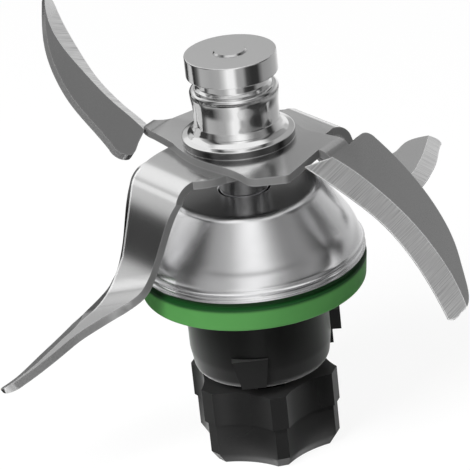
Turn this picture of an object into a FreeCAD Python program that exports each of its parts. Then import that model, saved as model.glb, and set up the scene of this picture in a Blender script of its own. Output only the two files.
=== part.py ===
import FreeCAD, Part
import math
import os

# Mixing knife for the bottom of a blender bowl. +Z is up along the spin axis,
# the origin is the middle of the drive coupling's underside, millimetres.

os.makedirs("parts", exist_ok=True)

# heights below are counted from the step plane of the shaft nut; the finished
# part stands this much higher, on the underside of its coupling
DATUM = 1.4

# shaft and its fits
SHAFT_R = 4.0
SHAFT_BOTTOM = -DATUM
SHAFT_TOP = 101.4
FLAT = 3.2             # half width across the two driving flats
RUN = 0.05             # radial clearance of a running fit

# turned hub
CAP_R = 10.85
CAP_TOP = 100.9
CAP_LOW = 95.8
NECK_R = 8.4
SHOULDER_Z = 92.6
BODY_R = 10.1
HUB_FLANGE_R = 13.4
HUB_LOW = 79.14

# blade stampings
SHEET = 2.0
UPPER_Z = HUB_LOW
LOWER_Z = UPPER_Z - SHEET
LAND = 0.15            # thickness left along a ground edge
FOLD_START = 21.8      # where the upper arms start to bend
DOWN_AZ = -37          # azimuths of the two upper arms
UP_AZ = 143
DOWN_NECK = (1.0, 9.0)  # side edges of each arm where its bend starts
UP_NECK = (-3.2, 5.1)
UP_ROOT = (0.8, 4.4)    # and where the bend ends
DROP_START = 20.3      # where the lower arms start to bend

# collar under the blades
COLLAR_R = 5.9
COLLAR_NECK_R = 5.2
COLLAR_STEP = 65.6

# dome cover
DOME_TOP = 66.4
DOME_SHEET = 1.0
DOME_BORE = 6.2
PLATE_R = 25.4          # housing plate inside the dome's rim
LIP_R = PLATE_R + 3.0
LIP_LOW = 49.1
LIP_TOP = 50.95

# seal ring
SEAL_R = LIP_R - 0.8
SEAL_LOW_R = SEAL_R - 0.56
SEAL_LOW = 41.6
SEAL_EDGE = 47.4

# bearing housing
HOUSING_R = 17.2
HOUSING_LOW = 20.2
BOSS_R = 15.4
PLATE_TOP = 52.4
SLEEVE_R = 12.5
SLEEVE_LOW = 22.6
BOSS_TOP = DOME_TOP - DOME_SHEET

# ball bearings, 8 x 22 x 7
BEARING_R = 11.0
BEARING_H = 7.0
INNER_R = 6.0
OUTER_BORE = 9.0
PITCH_R = 7.5
BALL_R = 1.95
BALLS = 7
LOWER_BEARING = 25.0
UPPER_BEARING = 51.0

# drive coupling
COUPLING_TOP = 18.5
COUPLING_STEP = 9.8
COUPLING_CHAMFER = 1.5
LOBES = 6
LOBE_AZ = -81.8
LOBE_R = 18.3
LOBE_LOW_R = 17.7
VALLEY_R = 15.0
INSERT_TOP = 23.4
NUT_LOW = 2.4
NUT_H = 6.0


def vec(x, y, z=0.0):
    return FreeCAD.Vector(x, y, z)


UP = vec(0, 0, 1)


def save(node, shape):
    shape.translate(vec(0, 0, DATUM))
    shape.exportStep("parts/" + node + ".step")


def cyl(r, low, high):
    return Part.makeCylinder(r, high - low, vec(0, 0, low))


def ring(r_in, r_out, low, high):
    return cyl(r_out, low, high).cut(cyl(r_in, low - 1, high + 1))


def turned(path):
    """Revolve a closed (r, z) path. A piece of 2 points is a line, of 3 an arc."""
    edges = []
    for piece in path:
        pts = [vec(r, 0, z) for r, z in piece]
        if len(pts) == 2:
            edges.append(Part.makeLine(pts[0], pts[1]))
        else:
            edges.append(Part.Arc(pts[0], pts[1], pts[2]).toShape())
    face = Part.Face(Part.Wire(edges))
    return face.revolve(vec(0, 0, 0), UP, 360)


def lathe(points):
    """Revolve a closed polygon of (r, z) points."""
    pts = [vec(r, 0, z) for r, z in points]
    face = Part.Face(Part.makePolygon(pts + [pts[0]]))
    return face.revolve(vec(0, 0, 0), UP, 360)


def sector(r_in, r_out, low, high, start, sweep):
    """Part of a ring between two azimuths in degrees."""
    outer = Part.makeCylinder(r_out, high - low, vec(0, 0, low), UP, sweep)
    inner = cyl(r_in, low - 1, high + 1)
    piece = outer.cut(inner)
    piece.rotate(vec(0, 0, 0), UP, start)
    return piece


def joined(shapes):
    whole = shapes[0]
    for shape in shapes[1:]:
        whole = whole.fuse(shape)
    return whole.removeSplitter()


class Plane:
    """Top face of a piece of sheet: u runs outward, v toward the trailing side, n up."""

    def __init__(self, origin, u, v):
        self.o = origin
        self.u = u
        self.v = v
        self.n = u.cross(v)

    def at(self, u, v, w=0.0):
        return self.o + self.u * u + self.v * v + self.n * w

    def path(self, pieces, w=0.0):
        """Wire of lines (2 points), arcs (3 points) and fair curves (4 or more)."""
        edges = []
        for piece in pieces:
            pts = [self.at(p[0], p[1], w) for p in piece]
            if len(pts) == 2:
                edges.append(Part.makeLine(pts[0], pts[1]))
            elif len(pts) == 3:
                edges.append(Part.Arc(pts[0], pts[1], pts[2]).toShape())
            else:
                curve = Part.BSplineCurve()
                curve.interpolate(pts)
                edges.append(curve.toShape())
        return Part.Wire(edges)

    def plate(self, pieces, thick=SHEET):
        return Part.Face(self.path(pieces)).extrude(self.n * -thick)

    def turned_by(self, degrees, u0, v0):
        """The same plane with its axes turned in the plane about (u0, v0)."""
        a = math.radians(degrees)
        u = self.u * math.cos(a) + self.v * math.sin(a)
        v = self.v * math.cos(a) - self.u * math.sin(a)
        return Plane(self.at(u0, v0), u, v)


def arm_plane(azimuth, distance, z):
    a = math.radians(azimuth)
    out = vec(math.cos(a), math.sin(a))
    side = vec(-math.sin(a), math.cos(a))
    return Plane(out * distance + vec(0, 0, z), out, side)


def around_bend(plane, angle, radius, share=1.0):
    """Plane at a share of a bend that starts at u = 0: down if angle > 0, else up."""
    a = math.radians(abs(angle) * share)
    sign = 1 if angle > 0 else -1
    origin = plane.at(radius * math.sin(a), 0, -sign * radius * (1 - math.cos(a)))
    u = plane.u * math.cos(a) - plane.n * (sign * math.sin(a))
    return Plane(origin, u, plane.v)


def bent(plane, angle, radius, stations):
    """Sheet through a bend from its side edges (lead, trail) at even shares of the turn.

    A third value is the lead edge on the lower face, where it is already ground.
    """
    wires = []
    for i, station in enumerate(stations):
        here = around_bend(plane, angle, radius, i / (len(stations) - 1))
        lead, trail = station[:2]
        low = station[-1] if len(station) == 3 else lead
        corners = [here.at(0, lead), here.at(0, trail)]
        corners += [here.at(0, trail, -SHEET), here.at(0, low, -SHEET)]
        wires.append(Part.makePolygon(corners + [corners[0]]))
    return Part.makeLoft(wires, True, False)


def even(first, last, count=7):
    """Evenly spaced (lead, trail) stations between two."""
    pairs = []
    for i in range(count):
        share = i / (count - 1)
        pairs.append(tuple(p + (q - p) * share for p, q in zip(first, last)))
    return pairs


def ground(plane, edge, line):
    """Metal above a ground bevel that falls from line (top face) to edge (bottom face)."""
    low = []
    high = []
    drop = -(SHEET - LAND)
    for (eu, ev), (lu, lv) in zip(edge, line):
        du = eu - lu
        dv = ev - lv
        low.append(plane.at(eu + 0.3 * du, ev + 0.3 * dv, drop * 1.3))
        high.append(plane.at(lu - 0.1 * du, lv - 0.1 * dv, -drop * 0.1))
    foot = Part.BSplineCurve()
    foot.interpolate(low)
    head = Part.BSplineCurve()
    head.interpolate(high)
    face = Part.makeRuledSurface(foot.toShape(), head.toShape())
    return face.extrude(plane.n * 6)


def shaft_section(low, high, grow=0.0):
    """Round shaft with two flats, the form that drives the blades."""
    flats = Part.makeBox(40, 2 * (FLAT + grow), high - low, vec(-20, -FLAT - grow, low))
    piece = cyl(SHAFT_R + grow, low, high).common(flats)
    piece.rotate(vec(0, 0, 0), UP, 53)
    return piece


# shaft: round, flatted under the hub, threaded end below for the nut

def drive_shaft():
    low_flats = shaft_section(8.6, COUPLING_TOP)
    shaft = joined([
        cyl(SHAFT_R - 0.6, SHAFT_BOTTOM, 8.6),
        low_flats,
        cyl(SHAFT_R, COUPLING_TOP, LOWER_Z - SHEET),
        shaft_section(LOWER_Z - SHEET, UPPER_Z),
        cyl(SHAFT_R, UPPER_Z, SHAFT_TOP),
    ])
    top = shaft.Edges
    rims = [e for e in top if abs(e.BoundBox.ZMin - SHAFT_TOP) < 0.01 and abs(e.BoundBox.ZMax - SHAFT_TOP) < 0.01]
    return shaft.makeChamfer(0.4, rims)


save("drive_shaft", drive_shaft())


# hub: capped and grooved grip, flared to a flange that clamps the blades

def hub_sleeve():
    cap = CAP_R
    return turned([
        [(SHAFT_R, HUB_LOW), (HUB_FLANGE_R - 0.2, HUB_LOW)],
        [(HUB_FLANGE_R - 0.2, HUB_LOW), (HUB_FLANGE_R, HUB_LOW + 0.2)],
        [(HUB_FLANGE_R, HUB_LOW + 0.2), (HUB_FLANGE_R, 80.8)],
        [(HUB_FLANGE_R, 80.8), (HUB_FLANGE_R - 0.2, 81.0)],
        [(HUB_FLANGE_R - 0.2, 81.0), (12.0, 81.4)],
        [(12.0, 81.4), (10.75, 82.2), (BODY_R, 84.0)],
        [(BODY_R, 84.0), (BODY_R, 89.6)],
        [(BODY_R, 89.6), (10.42, 89.8), (10.5, 90.2)],
        [(10.5, 90.2), (10.5, 91.8)],
        [(10.5, 91.8), (10.2, 92.4), (9.6, SHOULDER_Z)],
        [(9.6, SHOULDER_Z), (9.1, SHOULDER_Z)],
        [(9.1, SHOULDER_Z), (8.6, 92.8), (NECK_R, 93.3)],
        [(NECK_R, 93.3), (NECK_R, 95.2)],
        [(NECK_R, 95.2), (8.6, 95.6), (9.0, CAP_LOW)],
        [(9.0, CAP_LOW), (cap - 0.5, CAP_LOW)],
        [(cap - 0.5, CAP_LOW), (cap - 0.15, CAP_LOW + 0.15), (cap, CAP_LOW + 0.5)],
        [(cap, CAP_LOW + 0.5), (cap, CAP_TOP - 0.5)],
        [(cap, CAP_TOP - 0.5), (cap - 0.15, CAP_TOP - 0.15), (cap - 0.5, CAP_TOP)],
        [(cap - 0.5, CAP_TOP), (SHAFT_R, CAP_TOP)],
        [(SHAFT_R, CAP_TOP), (SHAFT_R, HUB_LOW)],
    ])


save("hub_sleeve", hub_sleeve())


# upper stamping: one arm folds down to a sickle blade, the other folds up

def on_world(plane, u, v):
    spot = plane.at(u, v)
    return (spot.x, spot.y)


def upper_plate():
    """Plate between the two folds, its sides hollow beside the hub."""
    down = arm_plane(DOWN_AZ, FOLD_START, UPPER_Z)
    up = arm_plane(UP_AZ, FOLD_START, UPPER_Z)
    down_lead = on_world(down, 0, DOWN_NECK[0])
    down_trail = on_world(down, 0, DOWN_NECK[1])
    up_lead = on_world(up, 0, UP_NECK[0])
    up_trail = on_world(up, 0, UP_NECK[1])
    flat = Plane(vec(0, 0, UPPER_Z), vec(1, 0), vec(0, 1))
    return flat.plate([
        [up_trail, (-18.3, 5.4), (-15.6, 0.5)],
        [(-15.6, 0.5), (-12.9, -6.0), (-9.6, -11.0), (-5.3, -15.6), (0.4, -23.2)],
        [(0.4, -23.2), (1.5, -24.4), (3.2, -24.9)],
        [(3.2, -24.9), (8.9, -24.9)],
        [(8.9, -24.9), (10.1, -24.8), (10.9, -24.0)],
        [(10.9, -24.0), down_lead],
        [down_lead, down_trail],
        [down_trail, (15.8, 0.0)],
        [(15.8, 0.0), (12.9, 6.0), (9.6, 11.0), (5.3, 15.6), (-0.4, 23.2)],
        [(-0.4, 23.2), (-2.0, 24.8), (-4.6, 24.9)],
        [(-4.6, 24.9), (-7.9, 21.4), (-11.1, 18.9), up_lead],
        [up_lead, up_trail],
    ])


def down_blade():
    """Sickle blade of the arm that folds down 52 degrees."""
    start = arm_plane(DOWN_AZ, FOLD_START, UPPER_Z)
    p = around_bend(start, 52, 4.0)
    lead, trail = DOWN_NECK
    edge = [
        (-1.8, -6.2), (4.1, -2.8), (10.2, 0.4), (18.8, 4.1), (25.5, 5.5), (33.3, 5.7), (42.4, 4.5), (46.4, 3.6),
    ]
    blade = p.plate([
        [(0, lead), (-0.9, -2.4), (-1.8, -6.2)],
        edge,
        [(46.4, 3.6), (47.3, 5.0), (47.1, 7.2)],
        [(47.1, 7.2), (45.7, 11.6), (40.2, 15.6), (33.3, 19.3), (25.6, 21.2), (18.1, 21.4), (7.5, 19.7), (1.6, 17.9)],
        [(1.6, 17.9), (0.1, 16.6), (-0.4, 14.4)],
        [(-0.4, 14.4), (0, trail)],
        [(0, trail), (0, lead)],
    ])
    line = [
        (-1.2, 0.8), (3.0, 3.6), (7.8, 6.2), (14.6, 9.0), (22.4, 11.2), (32.5, 12.2), (41.7, 11.2), (46.6, 9.6),
        (51.5, 7.6),
    ]
    cut = ground(p, edge + [(50.6, 2.4)], line)
    return bent(start, 52, 4.0, even(DOWN_NECK, DOWN_NECK)), blade.cut(cut)


def up_blade():
    """Sickle blade of the arm that folds up 38 degrees."""
    start = arm_plane(UP_AZ, FOLD_START, UPPER_Z)
    p = around_bend(start, -38, 4.0)
    lead, trail = UP_ROOT
    edge = [
        (0.8, 1.6), (3.3, 1.8), (6.8, 2.3), (10.5, 2.5), (14.4, 2.4), (18.9, 1.7), (26.5, -0.7), (30.6, -2.2),
        (34.3, -3.8), (39.9, -6.6),
    ]
    blade = p.plate([
        [(0, lead), (0.8, 1.6)],
        edge,
        [(39.9, -6.6), (41.5, -6.0), (41.4, -3.7)],
        [(41.4, -3.7), (38.8, -0.7), (35.4, 3.0), (28.5, 9.0), (22.4, 12.5), (13.7, 15.4), (8.9, 16.0), (0.4, 17.0)],
        [(0.4, 17.0), (-2.9, 16.8), (-4.4, 14.6)],
        [(-4.4, 14.6), (-4.0, 12.8), (-2.9, 10.5), (-1.7, 7.4), (0, trail)],
        [(0, trail), (0, lead)],
    ])
    line = [
        (-2.6, 5.4), (0.1, 5.6), (4.1, 5.8), (7.6, 6.2), (12.1, 6.4), (16.3, 6.2), (21.0, 5.8), (28.2, 4.7),
        (32.8, 3.1), (36.6, 0.8), (40.0, -2.0), (43.6, -5.2),
    ]
    cut_edge = [(-2.6, 1.5)] + edge + [(44.6, -9.2)]
    return bent(start, -38, 4.0, even(UP_NECK, UP_ROOT)), blade.cut(ground(p, cut_edge, line))


def upper_blade():
    down_fold, down = down_blade()
    up_fold, up = up_blade()
    whole = joined([upper_plate(), down_fold, down, up_fold, up])
    return whole.cut(shaft_section(LOWER_Z - 1, UPPER_Z + 1))


save("upper_blade", upper_blade())


# lower stamping: both arms drop steeply, then turn outward again

def lower_plate():
    flat = arm_plane(-144, 0, LOWER_Z)
    end = DROP_START
    return flat.plate([
        [(end, -9.9), (17.0, -11.2), (13.0, -12.1)],
        [(13.0, -12.1), (4.0, -13.4), (-4.0, -13.4), (-13.0, -11.3)],
        [(-13.0, -11.3), (-17.0, -10.2), (-end, -8.0)],
        [(-end, -8.0), (-end, 9.9)],
        [(-end, 9.9), (-17.0, 11.2), (-13.0, 12.1)],
        [(-13.0, 12.1), (-4.0, 13.4), (4.0, 13.4), (13.0, 11.3)],
        [(13.0, 11.3), (17.0, 10.2), (end, 8.0)],
        [(end, 8.0), (end, -9.9)],
    ])


def wall_point(point, degrees, u0, v0):
    """Turned in-plane coordinates back to the wall's own (u, v)."""
    a = math.radians(degrees)
    u, v = point
    return (u0 + u * math.cos(a) - v * math.sin(a), v0 + u * math.sin(a) + v * math.cos(a))


def long_blade():
    """Arm that drops 73 degrees and flares to a dagger outside the dome."""
    start = arm_plane(-144, DROP_START, LOWER_Z)
    wall = around_bend(start, 73, 5.7)
    turn = 50.5
    radius = 9.0
    reach = radius * math.tan(math.radians(turn / 2))
    # the second fold runs obliquely across the wall
    fold = wall.turned_by(23.64, 23.8, -0.8)
    stations = [
        (-10.1, 5.3, -10.6), (-11.9, 3.9, -14.6), (-14.2, 2.7, -18.2), (-16.4, 1.2, -21.2),
        (-18.1, -1.3, -23.4), (-18.9, -4.1, -24.7),
    ]
    lead = wall_point((-reach, -10.1), 23.64, 23.8, -0.8)
    trail = wall_point((-reach, 5.3), 23.64, 23.8, -0.8)
    side = wall.plate([
        [(0, -9.9), (6.2, -10.2), (13.4, -9.7), (17.9, -9.9), (21.5, -10.6), lead],
        [lead, trail],
        [trail, (14.0, 3.4), (10.6, 4.2), (4.1, 5.9), (0, 8.0)],
        [(0, 8.0), (0, -9.9)],
    ])
    begin = Plane(fold.at(-reach, 0), fold.u, fold.v)
    flare = around_bend(begin, -turn, radius)
    # the flare plane's own origin is where the two faces would meet
    p = Plane(flare.at(-reach, 0), flare.u, flare.v)
    edge = [(reach, -24.7), (5.8, -25.0), (11.2, -27.1), (16.6, -29.2), (21.7, -31.2), (25.2, -34.6)]
    dagger = p.plate([
        edge,
        [(25.2, -34.6), (27.2, -32.0), (27.6, -28.6)],
        [(27.6, -28.6), (26.8, -26.4), (25.4, -24.8)],
        [(25.4, -24.8), (22.1, -21.7), (15.7, -17.2), (12.2, -14.9), (9.2, -11.4), (6.8, -8.1), (reach, -4.1)],
        [(reach, -4.1), (reach, -24.7)],
    ])
    cut_edge = [(reach - 2, -24.4)] + edge + [(28.2, -38.0)]
    line = [
        (reach - 2, -19.6), (reach, -18.9), (7.2, -17.6), (12.2, -19.2), (16.9, -21.0), (21.4, -23.0),
        (25.4, -25.8), (29.0, -29.4),
    ]
    return [
        bent(start, 73, 5.7, even((-9.9, 8.0), (-9.9, 8.0), 9)),
        side,
        bent(begin, -turn, radius, stations),
        dagger.cut(ground(p, cut_edge, line)),
    ]


def short_blade():
    """Arm that drops 73 degrees and turns out to a near-level sickle."""
    start = arm_plane(36, DROP_START, LOWER_Z)
    wall = around_bend(start, 73, 5.7)
    length = 9.6
    side = wall.plate([
        [(0, -9.9), (length / 2, -10.3), (length, -11.4)],
        [(length, -11.4), (length, 6.4)],
        [(length, 6.4), (length / 2, 6.9), (0, 8.0)],
        [(0, 8.0), (0, -9.9)],
    ])
    begin = Plane(wall.at(length, 0), wall.u, wall.v)
    p = around_bend(begin, -71, 5.0)
    edge = [(1.4, -21.4), (4.8, -19.9), (12.6, -14.8), (17.0, -11.4), (23.0, -5.7), (25.6, -3.4)]
    blade = p.plate([
        [(0, -12.2), (0.1, -18.0), (1.4, -21.4)],
        edge,
        [(25.6, -3.4), (26.6, -1.9), (25.9, -0.8)],
        [(25.9, -0.8), (23.3, 0.4), (19.5, 1.1), (14.9, -0.5), (11.2, -2.1), (6.8, -1.2), (3.2, 1.6), (0, 5.6)],
        [(0, 5.6), (0, -12.2)],
    ])
    cut_edge = [(-2.2, -22.6)] + edge + [(29.4, -0.4)]
    line = [(-2.0, -18.6), (1.0, -17.4), (5.5, -15.3), (11.7, -11.1), (16.2, -7.6), (22.4, -2.1), (24.6, -0.2), (27.6, 2.2)]
    return [
        bent(start, 73, 5.7, even((-9.9, 8.0), (-9.9, 8.0), 9)),
        side,
        bent(begin, -71, 5.0, even((-11.4, 6.4), (-12.2, 5.6))),
        blade.cut(ground(p, cut_edge, line)),
    ]


def lower_blade():
    whole = joined([lower_plate()] + long_blade() + short_blade())
    return whole.cut(shaft_section(LOWER_Z - SHEET - 1, LOWER_Z + 1))


save("lower_blade", lower_blade())


# collar between the blades and the upper bearing

def blade_collar():
    top = LOWER_Z - SHEET
    return turned([
        [(SHAFT_R, UPPER_BEARING + BEARING_H), (COLLAR_NECK_R, UPPER_BEARING + BEARING_H)],
        [(COLLAR_NECK_R, UPPER_BEARING + BEARING_H), (COLLAR_NECK_R, COLLAR_STEP)],
        [(COLLAR_NECK_R, COLLAR_STEP), (COLLAR_R, COLLAR_STEP)],
        [(COLLAR_R, COLLAR_STEP), (COLLAR_R, top - 0.5)],
        [(COLLAR_R, top - 0.5), (COLLAR_R - 0.15, top - 0.15), (COLLAR_R - 0.5, top)],
        [(COLLAR_R - 0.5, top), (SHAFT_R, top)],
        [(SHAFT_R, top), (SHAFT_R, UPPER_BEARING + BEARING_H)],
    ])


save("blade_collar", blade_collar())


# drawn dome cover with a rolled lip

def dome_cover():
    inner = DOME_TOP - DOME_SHEET
    foot = PLATE_R + DOME_SHEET
    return turned([
        [(DOME_BORE, inner), (DOME_BORE, DOME_TOP - 0.3)],
        [(DOME_BORE, DOME_TOP - 0.3), (DOME_BORE + 0.3, DOME_TOP)],
        [(DOME_BORE + 0.3, DOME_TOP), (16.4, DOME_TOP)],
        [(16.4, DOME_TOP), (17.75, DOME_TOP - 0.35), (18.75, DOME_TOP - 1.2)],
        [(18.75, DOME_TOP - 1.2), (foot - 2.1, 57.4)],
        [(foot - 2.1, 57.4), (foot - 0.65, 54.75), (foot + 0.1, 52.2)],
        [(foot + 0.1, 52.2), (foot + 0.4, 51.35), (LIP_R - 1.0, LIP_TOP)],
        [(LIP_R - 1.0, LIP_TOP), (LIP_R, 50.05), (LIP_R - 0.9, LIP_LOW)],
        [(LIP_R - 0.9, LIP_LOW), (PLATE_R, LIP_LOW)],
        [(PLATE_R, LIP_LOW), (PLATE_R, PLATE_TOP)],
        [(PLATE_R, PLATE_TOP), (PLATE_R - 0.6, 54.4), (PLATE_R - 1.9, 56.8)],
        [(PLATE_R - 1.9, 56.8), (17.95, inner - 0.8)],
        [(17.95, inner - 0.8), (17.2, inner - 0.2), (16.2, inner)],
        [(16.2, inner), (DOME_BORE, inner)],
    ])


save("dome_cover", dome_cover())


# housing plate gasket: a round cord ring in the rim of the housing plate

GASKET_R = 0.9
GASKET_Z = 50.7
save("dome_gasket", Part.makeTorus(PLATE_R - GASKET_R, GASKET_R, vec(0, 0, GASKET_Z)))


# green seal ring around the housing neck

def seal_ring():
    rim = PLATE_R + 1.1
    return turned([
        [(HOUSING_R, SEAL_LOW + 1.2), (HOUSING_R, LIP_LOW)],
        [(HOUSING_R, LIP_LOW), (rim, LIP_LOW)],
        [(rim, LIP_LOW), (rim, SEAL_EDGE + 0.5)],
        [(rim, SEAL_EDGE + 0.5), (rim + 0.15, SEAL_EDGE + 0.15), (rim + 0.5, SEAL_EDGE)],
        [(rim + 0.5, SEAL_EDGE), (SEAL_R - 0.2, SEAL_EDGE - 0.1), (SEAL_R, SEAL_EDGE - 0.5)],
        [(SEAL_R, SEAL_EDGE - 0.5), (SEAL_LOW_R, SEAL_LOW + 0.6)],
        [(SEAL_LOW_R, SEAL_LOW + 0.6), (SEAL_LOW_R - 0.2, SEAL_LOW + 0.15), (SEAL_LOW_R - 0.7, SEAL_LOW)],
        [(SEAL_LOW_R - 0.7, SEAL_LOW), (24.6, SEAL_LOW)],
        [(24.6, SEAL_LOW), (23.9, SEAL_LOW + 1.3), (23.2, SEAL_LOW)],
        [(23.2, SEAL_LOW), (21.6, SEAL_LOW)],
        [(21.6, SEAL_LOW), (20.9, SEAL_LOW + 1.3), (20.2, SEAL_LOW)],
        [(20.2, SEAL_LOW), (HOUSING_R + 1.2, SEAL_LOW)],
        [(HOUSING_R + 1.2, SEAL_LOW), (HOUSING_R, SEAL_LOW + 1.2)],
    ])


save("seal_ring", seal_ring())


# moulded housing: neck with bayonet lugs and a front key, plate and boss above

def bearing_housing():
    groove_low = GASKET_Z - GASKET_R
    groove_top = GASKET_Z + GASKET_R
    groove_r = PLATE_R - 2 * GASKET_R
    body = turned([
        [(10.6, HOUSING_LOW), (14.6, HOUSING_LOW)],
        [(14.6, HOUSING_LOW), (15.9, 20.9), (16.6, 22.4)],
        [(16.6, 22.4), (HOUSING_R, 26.4)],
        [(HOUSING_R, 26.4), (HOUSING_R, LIP_LOW)],
        [(HOUSING_R, LIP_LOW), (PLATE_R, LIP_LOW)],
        [(PLATE_R, LIP_LOW), (PLATE_R, groove_low)],
        [(PLATE_R, groove_low), (groove_r, groove_low)],
        [(groove_r, groove_low), (groove_r, groove_top)],
        [(groove_r, groove_top), (PLATE_R, groove_top)],
        [(PLATE_R, groove_top), (PLATE_R, PLATE_TOP)],
        [(PLATE_R, PLATE_TOP), (17.4, PLATE_TOP)],
        [(17.4, PLATE_TOP), (16.0, 53.0), (BOSS_R, 54.4)],
        [(BOSS_R, 54.4), (BOSS_R, BOSS_TOP)],
        [(BOSS_R, BOSS_TOP), (SLEEVE_R, BOSS_TOP)],
        [(SLEEVE_R, BOSS_TOP), (SLEEVE_R, SLEEVE_LOW)],
        [(SLEEVE_R, SLEEVE_LOW), (10.6, SLEEVE_LOW)],
        [(10.6, SLEEVE_LOW), (10.6, HOUSING_LOW)],
    ])
    pieces = [body]
    for start in (-4, 118):
        pieces.append(sector(16.0, 19.8, 26.7, 32.0, start, 30))
        pieces.append(sector(16.0, 17.6, 22.6, 26.7, start + 3, 6))
    # front key: a flat trapezoid block, wider at its top
    key = Part.Face(Part.makePolygon([
        vec(-7.4, 0, 29.0), vec(1.2, 0, 29.0), vec(0.2, 0, 21.6), vec(-5.6, 0, 21.6), vec(-7.4, 0, 29.0),
    ])).extrude(vec(0, 17.9 - 12.8, 0))
    key.translate(vec(0, -17.9, 0))
    pieces.append(key)
    # stiffening ribs between plate and boss, inside the dome
    for k in range(6):
        rib = Part.Face(Part.makePolygon([
            vec(14.5, -0.8, PLATE_TOP - 1), vec(22.5, -0.8, PLATE_TOP - 1), vec(22.5, -0.8, PLATE_TOP + 1.6),
            vec(16.2, -0.8, 62.0), vec(14.5, -0.8, 62.0), vec(14.5, -0.8, PLATE_TOP - 1),
        ])).extrude(vec(0, 1.6, 0))
        rib.rotate(vec(0, 0, 0), UP, 30 + 60 * k)
        pieces.append(rib)
    return joined(pieces)


save("bearing_housing", bearing_housing())


# steel sleeve that holds both bearings

def bearing_sleeve():
    shoulder = 9.5
    return lathe([
        (BEARING_R, SLEEVE_LOW), (SLEEVE_R, SLEEVE_LOW), (SLEEVE_R, BOSS_TOP), (BEARING_R, BOSS_TOP),
        (BEARING_R, UPPER_BEARING - 1.4), (shoulder, UPPER_BEARING - 1.4),
        (shoulder, LOWER_BEARING + BEARING_H), (BEARING_R, LOWER_BEARING + BEARING_H),
        (BEARING_R, LOWER_BEARING), (11.7, LOWER_BEARING), (11.7, LOWER_BEARING - 1.1),
        (BEARING_R, LOWER_BEARING - 1.1),
    ])


save("bearing_sleeve", bearing_sleeve())

# snap ring under the lower bearing, with its gap
snap = ring(9.4, 11.7, LOWER_BEARING - 1.1, LOWER_BEARING)
snap = snap.cut(Part.makeBox(12, 4, 4, vec(0, -2, LOWER_BEARING - 2)))
save("bearing_circlip", snap)

# conical spring washer that preloads the upper bearing
save("preload_spring", lathe([
    (9.6, UPPER_BEARING - 1.4), (10.9, UPPER_BEARING - 0.4), (10.9, UPPER_BEARING),
    (10.0, UPPER_BEARING), (9.6, UPPER_BEARING - 0.9),
]))


# ball bearings

def inner_ring(low):
    middle = vec(0, 0, low + BEARING_H / 2)
    body = ring(SHAFT_R, INNER_R, low, low + BEARING_H)
    return body.cut(Part.makeTorus(PITCH_R, BALL_R, middle))


def outer_ring(low):
    middle = vec(0, 0, low + BEARING_H / 2)
    body = ring(OUTER_BORE, BEARING_R, low, low + BEARING_H)
    return body.cut(Part.makeTorus(PITCH_R, BALL_R + RUN, middle))


def balls(low):
    group = []
    for k in range(BALLS):
        a = 2 * math.pi * k / BALLS
        spot = vec(PITCH_R * math.cos(a), PITCH_R * math.sin(a), low + BEARING_H / 2)
        group.append(Part.makeSphere(BALL_R, spot))
    return group


def cage(low):
    middle = low + BEARING_H / 2
    body = ring(6.9, 8.1, middle - 0.8, middle + 2.7)
    for ball in balls(low):
        body = body.cut(ball)
    return body


def shields(low):
    top = low + BEARING_H
    return Part.makeCompound([
        ring(INNER_R + 0.15, OUTER_BORE, low + 0.2, low + 0.5),
        ring(INNER_R + 0.15, OUTER_BORE, top - 0.5, top - 0.2),
    ])


for name, low in (("lower", LOWER_BEARING), ("upper", UPPER_BEARING)):
    save(name + "_inner_ring", inner_ring(low))
    save(name + "_outer_ring", outer_ring(low))
    save(name + "_bearing_balls", Part.makeCompound(balls(low)))
    save(name + "_ball_cage", cage(low))
    save(name + "_bearing_shields", shields(low))

# distance tube between the two inner rings
save("inner_spacer", ring(SHAFT_R, 5.6, LOWER_BEARING + BEARING_H, UPPER_BEARING))


# shaft seal above the upper bearing: steel case, rubber lip, garter spring

SEAL_CASE_LOW = UPPER_BEARING + BEARING_H
SEAL_CASE_TOP = BOSS_TOP
LIP_BORE = COLLAR_NECK_R + RUN
GARTER_Z = SEAL_CASE_TOP - 3.8

save("lip_seal_case", lathe([
    (10.2, SEAL_CASE_LOW), (BEARING_R, SEAL_CASE_LOW), (BEARING_R, SEAL_CASE_TOP),
    (7.4, SEAL_CASE_TOP), (7.4, SEAL_CASE_TOP - 0.8), (10.2, SEAL_CASE_TOP - 0.8),
]))


def lip_seal():
    groove = Part.makeTorus(7.2, 0.8, vec(0, 0, GARTER_Z))
    mid = GARTER_Z
    body = lathe([
        (LIP_BORE, mid - 0.4), (6.4, mid - 1.4), (7.2, mid - 1.4), (7.2, mid + 1.0), (8.4, mid + 1.8),
        (9.4, mid + 1.0), (9.4, mid - 2.6), (10.2, mid - 2.6), (10.2, SEAL_CASE_TOP - 0.8),
        (6.4, SEAL_CASE_TOP - 0.8), (6.4, mid + 1.2), (LIP_BORE, mid + 0.2),
    ])
    return body.cut(groove)


save("lip_seal", lip_seal())
save("lip_seal_spring", Part.makeTorus(7.2, 0.8, vec(0, 0, GARTER_Z)))

# thrust washer between the lower bearing and the coupling
save("thrust_washer", ring(SHAFT_R, 6.4, INSERT_TOP, LOWER_BEARING))


# drive coupling: six lobes with hollow flanks, the lower half stepped in

def star(tip, valley, z, half=6.2):
    """Closed wire of the lobed outline at height z."""
    def spot(r, degrees):
        a = math.radians(degrees)
        return vec(r * math.cos(a), r * math.sin(a), z)

    edges = []
    step = 360 / LOBES
    for k in range(LOBES):
        mid = LOBE_AZ + k * step
        left = spot(tip, mid - half)
        right = spot(tip, mid + half)
        after = spot(tip, mid + step - half)
        edges.append(Part.makeLine(left, right))
        edges.append(Part.Arc(right, spot(valley, mid + step / 2), after).toShape())
    return Part.Wire(edges)


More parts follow.
